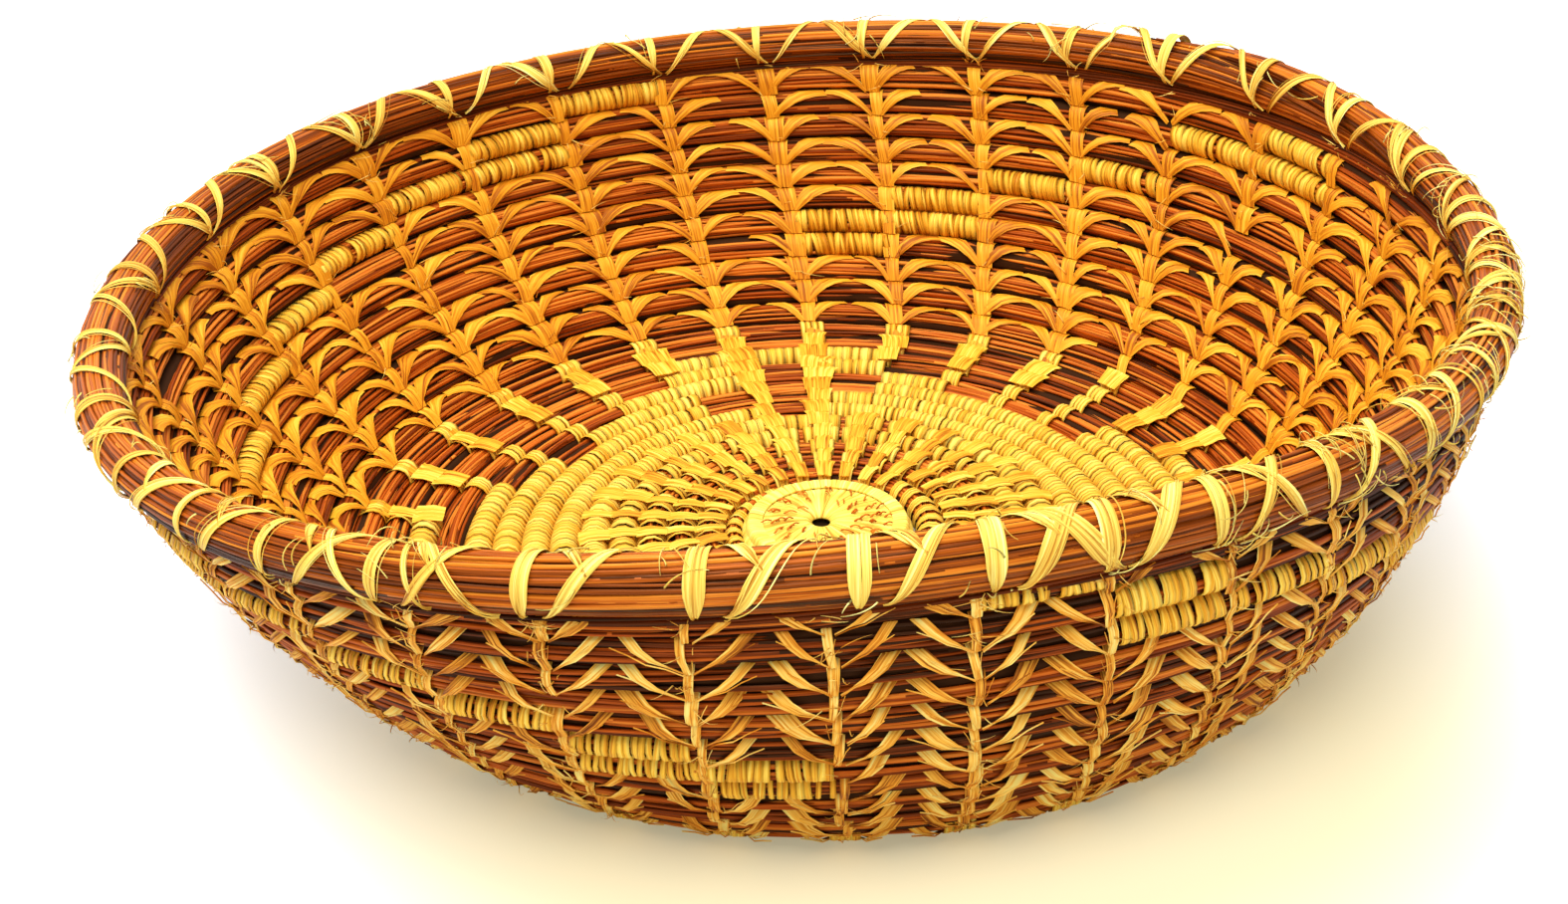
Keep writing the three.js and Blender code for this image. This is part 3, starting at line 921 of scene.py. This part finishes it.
rib_here = rib + swing + begin + (end - begin) * along + upright * (along - 0.5) * 0.06
rib_here = rib_here + hair * chance(piece, seed + 12, -0.09, 0.09) * sine(along * 3.1)
proud = 2 * smooth((rib_here - scarf_from + 1.4) / 2.9) * (rib_here < 4.6)
out = rim_cord + 0.1 + lift * 0.12 + chance(piece, seed + 4, 0, 0.25)
out = out + hair * chance(piece, seed + 13, 0.1, 0.6) * at_least(0, sine(along * 5 + piece))
wide = width * chance(strap, seed + 2, 0.72, 1.2) * either(upright, 1.05, 0.85) * (1 - 0.55 * thin)
wide = wide * (0.6 + 0.4 * smooth(1.5 - absolute(rib - 24.6) / 2.4))
wide = wide * (0.22 + 0.78 * smooth(along * 3.4)) * (0.3 + 0.7 * smooth((1 - along) * 3.4))
apart = (part - 2) * 0.4 + chance(piece, seed + 6, -0.15, 0.15)
apart = either(hair, chance(piece, seed + 14, -1.2, 1.2), apart)
over = wide * (apart + across * either(hair, 0.09, 0.3))
slope = (slanting - crossing) * 0.75 - inner * 0.6
around = turn - over * sine(slope) / 6
place = use(
    on_basket,
    rib_here + over * cosine(slope) / rim_spacing,
    rim_run + out * sine(around) + proud * at_least(0, sine(turn)),
    out * cosine(around) * -1,
)
fibre = vector(over + strap * 1.7, along * 28, strap * 3.3)
tone = chance(strap, seed + 5) * 0.5 + chance(piece, seed + 7) * 0.5
# The tone is lightest over the top of the rim and darker down either side: painted light and shade.
tone = tone - 0.3 * (1 - sine(along * math.pi))
finish_tree(mesh, place, tone, fibre, strap_fibre, ribbon=True)
grow("rim_straps", given, strap_fibre, "stitch_fibre")

# Wrapped blocks. Between two ribs the fibre is wound round and round the bundle, close and a
# little uneven; the blocks step down one row at each rib, like stairs, on both faces.
wraps_each = 16
block_rows = 9
wall_spacing = 26
block_sizes = {"Wraps": ribs * block_rows * wraps_each, "Wrap width": 0.72}
block_sizes = {**block_sizes, "Half row": 3.3, "Wrap depth": 3.75, "Seed": 160}
given, (wraps, width, half_row, wrap_depth, seed) = start_tree("wrapped_blocks", block_sizes)


def block_at(piece):
    block = whole(piece / wraps_each)
    return block, remainder(block, ribs), whole(block / ribs)


def block_wrap_shown(piece):
    block, rib, row = block_at(piece)
    return in_stairs(rib, row) * (chance(piece, 6) > 0.03)


mesh, piece, along, across, lift = strands(wraps, sides=4, steps=12, keep=block_wrap_shown)
block, rib, row = block_at(piece)
step = remainder(piece, wraps_each) + 0.5 + chance(piece, seed, -0.3, 0.3)
passed = ribs_passed(rib, row) + 0.04 + 0.92 * step / wraps_each
turn = along * 6.1 + 4.0
outward = smooth(0.5 - sine(turn))
run, size = use(winding, passed)
spacing = spacing_at(run)
wide = width * chance(piece, seed + 1, 0.75, 1.2)
wide = wide * either(outward, chance(block, seed + 6, 0.78, 1.3), 1.4) * spacing / wall_spacing
slant = chance(piece, seed + 2, -0.5, 0.5) * cosine(turn)
out = wrap_depth + lift * 0.16 + chance(piece, seed + 3, 0, 0.2)
place = use(
    on_basket,
    passed + (across * wide + slant) / spacing,
    run + half_row * size * cosine(turn),
    out * flatness(size) * sine(turn),
)
fibre = vector(across * wide + piece * 1.7, along * 20, piece * 3.3)
# The tone is darker where the wraps go down into the grooves between rows: painted shade.
tone = 0.25 + chance(piece, seed + 5) * 0.6 + outward * 0.15 - 0.2 * cosine(turn) ** 2
finish_tree(mesh, place, tone, fibre, pattern_fibre)
grow(
    "wrapped_blocks",
    given,
    pattern_fibre,
    "pattern_fibre",
    *[f"wrapped_block_{i:02d}" for i in range(1, 22)],
)

# The star ring on the floor is wrapped the same way over whole rows. It reaches out in four points,
# one at every eighth rib, and the point at the back has three brown windows. Inside and outside
# it only the ribs are wrapped.
ring_inner = 51
ring_outer = 70
point_length = 26
for name, first_row, row_count, wraps_here, depth, nodes in (
    ("star_ring_wraps", 12, 8, 8, 3.9, ["star_ring"]),
    ("rib_wraps", 10, 15, 4, 3.75, []),
):
    sizes = {"First row": first_row, "Rows": row_count, "Wraps": wraps_here, "Wrap width": 0.78}
    sizes = {**sizes, "Half row": 3.5, "Wrap depth": depth, "Seed": 190}
    given, (row_from, rows, wraps, width, half_row, wrap_depth, seed) = start_tree(name, sizes)
    ring = name == "star_ring_wraps"

    def wrapped_at(piece):
        block = whole(piece / wraps)
        return block, remainder(block, ribs), whole(block / ribs) + row_from

    def floor_wrap_shown(piece):
        block, rib, row = wrapped_at(piece)
        run = use(winding, ribs_passed(rib, row) + 0.5)[0]
        from_point = absolute(remainder(rib + 4, 8) - 4)
        reach = ring_outer + point_length * smooth(1 - from_point / 4)
        from_back = rib - 8
        middle = near(from_back, 0)
        window = run > either(middle, 53, 63.5 - 2.5 * from_back)
        window = window * (run < either(middle, 84, 75 - 2 * from_back))
        window = window * near(from_back, 0, 1.1)
        bare = (run > 80) * near(rib, 17, 2.6) * (remainder(row, 2) < 0.5)
        if ring:
            return (run > ring_inner) * (run < reach) * (1 - window) * (1 - bare)
        outside = (run < star_from) + (run > reach) * (run < 108)
        return (run > disc_radius) * at_most(1, outside)

    count = ribs * rows * wraps
    mesh, piece, along, across, lift = strands(count, sides=4, steps=12, keep=floor_wrap_shown)
    block, rib, row = wrapped_at(piece)
    step = remainder(piece, wraps) + 0.5 + chance(piece, seed, -0.2, 0.2)
    run = use(winding, ribs_passed(rib, row))[0]
    share = 1.0 if ring else either(run > 62, 0.27, 0.6 + 0.3 * smooth((run - 36) / 8))
    passed = ribs_passed(rib, row) + (step / wraps - (0.0 if ring else 0.5)) * share
    turn = along * 6.1 + 4.0
    run, size = use(winding, passed)
    spacing = spacing_at(run)
    wide = width * spacing / wraps * share * 0.8 * chance(piece, seed + 1, 0.8, 1.2)
    out = wrap_depth + lift * 0.16 + chance(piece, seed + 3, 0, 0.2)
    height = out * sine(turn) * flatness(size)
    passed = passed + across * wide / spacing
    place = use(on_basket, passed, run + half_row * size * cosine(turn), height)
    fibre = vector(across * wide + piece * 1.7, along * 20, piece * 3.3)
    # The tone starts higher than in the wall's wrapped blocks, which share the material: painted
    # light on the upward-facing floor. It is darker where the wraps go down into the grooves:
    # painted shade.
    tone = 0.65 + chance(piece, seed + 5) * 0.6 - 0.15 * cosine(turn) ** 4
    finish_tree(mesh, place, tone, fibre, pattern_fibre)
    grow(name, given, pattern_fibre, "pattern_fibre", *nodes)

# The disc starts the basket: flat fibres laid from a small hole out to the edge, over a short
# inner coil, with a second ring of them near the edge and a third layer underneath.
disc_fibre = strand_material(
    "disc_fibre",
    fibre_grain,
    [
        (0.02, (0.58, 0.26, 0.02)),
        (0.3, (0.86, 0.60, 0.07)),
        (0.6, (0.95, 0.76, 0.13)),
        (0.95, (0.99, 0.88, 0.26)),
    ],
    roughness=0.5,
    bump_strength=0.5,
    tint=fibre_tint,
)
spokes_each = 54
ribs_per_radian = ribs / 6.283
hole_to_left = 1.7
hole_to_back = 2.2
hole_edge = 2.1
ring_from = 14.6
ring_to = 18.4
disc_edge = 19.2
given, (spokes, seed) = start_tree("centre_disc_fibres", {"Spokes": 3 * spokes_each, "Seed": 220})
mesh, piece, along, across, lift = strands(spokes, sides=6, steps=12)
ring = near(whole(piece / spokes_each), 1)
under = piece > 2 * spokes_each - 0.5
rib = piece * (ribs / spokes_each)
low = either(ring, ring_from, hole_edge)
high = either(ring, ring_to, disc_edge + under)
run = low + (high - low) * along
wide = (0.16 + run * 0.052) * chance(piece, seed + 1, 0.9, 1.2) * (1 + 0.5 * under)
bulge = 3.1 + 0.9 * sine(smooth(run / disc_radius) * math.pi) + ring * 0.6 + lift * 0.2
bulge = bulge + 0.7 * smooth((run - 14) / 3) - 2.2 * smooth((run - 17.6) / 1.4)
dive = (1 - smooth(along * 12)) * (1 - ring)
bulge = either(under, -3.0, bulge - dive * 0.8)
place = use(on_basket, rib + across * wide * ribs_per_radian / run, run, bulge)
moved = node("ShaderNodeVectorMath", operation="ADD")
feed(moved.inputs[0], place)
pull = at_least(0, 1 - run / 14) * (1 - under)
feed(moved.inputs[1], vector(pull * (-hole_to_left * 0.001), pull * (hole_to_back * 0.001), 0))
fibre = vector(across * wide + piece * 1.7, run, piece * 3.3)
tone = 0.2 + chance(piece, seed + 5) * 0.8 - 0.45 * smooth(1 - absolute(run - 10) / 5)
# Darker where the spokes dive into the hole: painted shade.
tone = tone - dive * 0.4
finish_tree(mesh, Field(moved.outputs[0]), tone, fibre, disc_fibre, ribbon=True)
grow("centre_disc_fibres", given, disc_fibre, "disc_fibre", "centre_disc")

# The hole in the disc, where its fibres start, lies a little to the left of the middle and behind
# it. A round plug in nearly black painted shade, which ends below the fibres, stands for its depth.
given, (pit_radius, pit_top) = start_tree("disc_pit", {"Pit radius": 2.7, "Pit top": 7.4})
mesh, piece, along, across, lift = strands(1, sides=12, steps=4)
place = vector(
    (floor_to_right - hole_to_left + across * pit_radius) * 0.001,
    (hole_to_back - floor_to_front - whole_to_front + lift * pit_radius) * 0.001,
    (1 + (pit_top - 1) * along) * 0.001,
)
finish_tree(mesh, place, chance(piece, 1), vector(across, along, lift), painted_shade_material)
grow("disc_pit", given, painted_shade_material, "disc_fibre")

# Brown flecks on the disc: bits of needle from the inner coil, which come up between the fibres
# and lie on a slant.
fleck_count = 70
given, (flecks, width, middle, seed) = start_tree(
    "disc_flecks", {"Flecks": fleck_count, "Fleck width": 0.35, "Middle": 10.5, "Seed": 230}
)
mesh, piece, along, across, lift = strands(flecks, sides=4, steps=4)
out = middle + chance(piece, seed, -4.0, 3.6)
rib = piece * (ribs * 4.13 / fleck_count) + chance(piece, seed + 1, -0.3, 0.3)
length = chance(piece, seed + 2, 0.8, 2.6)
x = (along - 0.5) * length * 0.6
y = (along - 0.5) * length + across * width
bulge = 4.15 + 0.9 * sine(smooth(out / disc_radius) * math.pi) + lift * 0.2
bulge = bulge - 0.5 * (1 - sine(along * 3.1))
place = use(on_basket, rib + x * ribs_per_radian / out, out + y, bulge)
fibre = vector(across + piece * 3.1, along * 4, piece)
finish_tree(mesh, place, chance(piece, seed + 3, 0.7, 1.3), fibre, coil_needles)
grow("disc_flecks", given, coil_needles, "disc_fibre")

# Loose fibres: thin split ends that stand off the stitches and curl over the rim. The rim is
# most frayed at the right of the front, where about a third of them are.
given, (hairs, length, hair_radius, seed) = start_tree(
    "loose_fibres", {"Hairs": 1500, "Hair length": 7.0, "Hair radius": 0.17, "Seed": 250}
)
mesh, piece, along, across, lift = strands(hairs, sides=3, steps=6)
rib = number("ROUND", chance(piece, seed + 1, 0, ribs))
down = chance(piece, seed) ** 1.5
run = rim_run - 5 - pitch * whole(down * 11) - chance(piece, seed + 12, 0, 1.5)
side = either(chance(piece, seed + 3) > 0.3, -1, 1)
reach = length * chance(piece, seed + 4, 0.35, 1.1)
x = chance(piece, seed + 5, -1, 1) * reach * along + chance(piece, seed + 2, -2.5, 2.5)
y = chance(piece, seed + 6, -0.7, 0.9) * reach * along * (1 - 0.4 * along)
off = 3.7 + chance(piece, seed + 7, 0.2, 1.8) * sine(along * chance(piece, seed + 8, 1.2, 2.6))
thin = hair_radius * (1 - 0.75 * along)
place = use(on_basket, rib + (x + across * thin) / wall_spacing, run + y + lift * thin, off * side)
fibre = vector(across + piece * 1.7, along * 8, piece * 3.3)
finish_tree(mesh, place, chance(piece, seed + 9, 0.2, 1.0), fibre, stitch_fibre)
grow("loose_fibres", given, stitch_fibre, "stitch_fibre")

quarter_turn = 1.57
given, (hairs, length, hair_radius, seed) = start_tree(
    "rim_loose_fibres", {"Hairs": 300, "Hair length": 8.0, "Hair radius": 0.23, "Seed": 270}
)
mesh, piece, along, across, lift = strands(hairs, sides=3, steps=8)
frayed = chance(piece, seed + 12) > 0.7
rib = number("ROUND", chance(piece, seed + 1, ribs * 0.8 * frayed, ribs))
rib = rib + chance(piece, seed + 2, -0.12, 0.4)
turn = chance(piece, seed, -1.1, 3.6)
reach = length * chance(piece, seed + 4, 0.3, 1.2) * (1 + 0.5 * frayed)
heading = either(chance(piece, seed + 13) > 0.5, quarter_turn, -quarter_turn)
heading = heading + chance(piece, seed + 5, -0.9, 0.9)
bend = heading + chance(piece, seed + 6, -0.8, 0.8) * along
x = reach * along * cosine(bend)
turn = turn + reach * along * sine(bend) / 7
stand = chance(piece, seed + 7, 0.1, 1.5) ** 2
off = rim_cord + 0.5 + stand * sine(along * chance(piece, seed + 8, 1.0, 3.0))
thin = hair_radius * (1 - 0.6 * along)
place = use(
    on_basket,
    rib + (x + across * thin) / rim_spacing,
    rim_run + off * sine(turn) + lift * thin,
    off * cosine(turn) * -1,
)
fibre = vector(across + piece * 1.7, along * 8, piece * 3.3)
finish_tree(mesh, place, chance(piece, seed + 9, 0.5, 1.2), fibre, strap_fibre)
grow("rim_loose_fibres", given, strap_fibre, "stitch_fibre")

# The stage: a white table top under an even white sky, with a warm painted shadow round the foot
# of the basket. One soft light hangs in front and a little to the left, and a wider one above the
# left side.
half_table = 4
corners = [(x * half_table, y * half_table, 0) for x, y in ((-1, -1), (1, -1), (1, 1), (-1, 1))]
top = bpy.data.meshes.new("table_top")
top.from_pydata(corners, [], [(0, 1, 2, 3)])
table = bpy.data.objects.new("table_top", top)
bpy.context.scene.collection.objects.link(table)
table_material, shader = new_material("pale_table", roughness=0.7, specular=0.2)
x, y, z = split(Field(node("ShaderNodeNewGeometry").outputs["Position"]))
# The painted shadow round the foot: a yellower colour and a weaker glow towards the foot.
painted_shadow_x = 0.03
painted_shadow_y = -0.08
painted_shadow_reach = 0.175
painted_shadow_fade = 0.1
from_foot = number("SQRT", (x - painted_shadow_x) ** 2 + (y - painted_shadow_y) ** 2)
painted_foot_shadow = smooth((painted_shadow_reach - from_foot) / painted_shadow_fade)
pale = vector(0.8, 0.8 - 0.07 * painted_foot_shadow, 0.8 - 0.32 * painted_foot_shadow)
feed(shader.inputs["Base Color"], pale)
feed(shader.inputs["Emission Color"], pale)
rays = node("ShaderNodeLightPath")
glow = Field(rays.outputs["Is Camera Ray"]) * (0.8 - 0.38 * painted_foot_shadow)
feed(shader.inputs["Emission Strength"], glow)
top.materials.append(table_material)

world = bpy.data.worlds.new("studio")
bpy.context.scene.world = world
world.use_nodes = True
Field.tree = world.node_tree
background = Field.tree.nodes["Background"]
rays = node("ShaderNodeLightPath")
seen = Field(rays.outputs["Is Camera Ray"]) + Field(rays.outputs["Is Glossy Ray"])
seen = at_most(1, seen + Field(rays.outputs["Is Transmission Ray"]))
background.inputs["Color"].default_value = (1, 1, 1, 1)
feed(background.inputs["Strength"], 0.5 + seen * 0.5)


def soft_light(name, place, size, power):
    lamp = bpy.data.lights.new(name, "AREA")
    lamp.shape = "DISK"
    lamp.size = size
    lamp.energy = power
    light = bpy.data.objects.new(name, lamp)
    light.location = place
    light.rotation_euler = (Vector((0, 0, 0.03)) - Vector(place)).to_track_quat("-Z", "Y").to_euler()
    bpy.context.scene.collection.objects.link(light)


soft_light("key_light", (-0.1, -0.75, 1.3), size=0.8, power=15.5)
soft_light("top_light", (-0.3, 0.15, 1.3), size=1.0, power=15.5)
bpy.context.scene.view_settings.view_transform = "Standard"
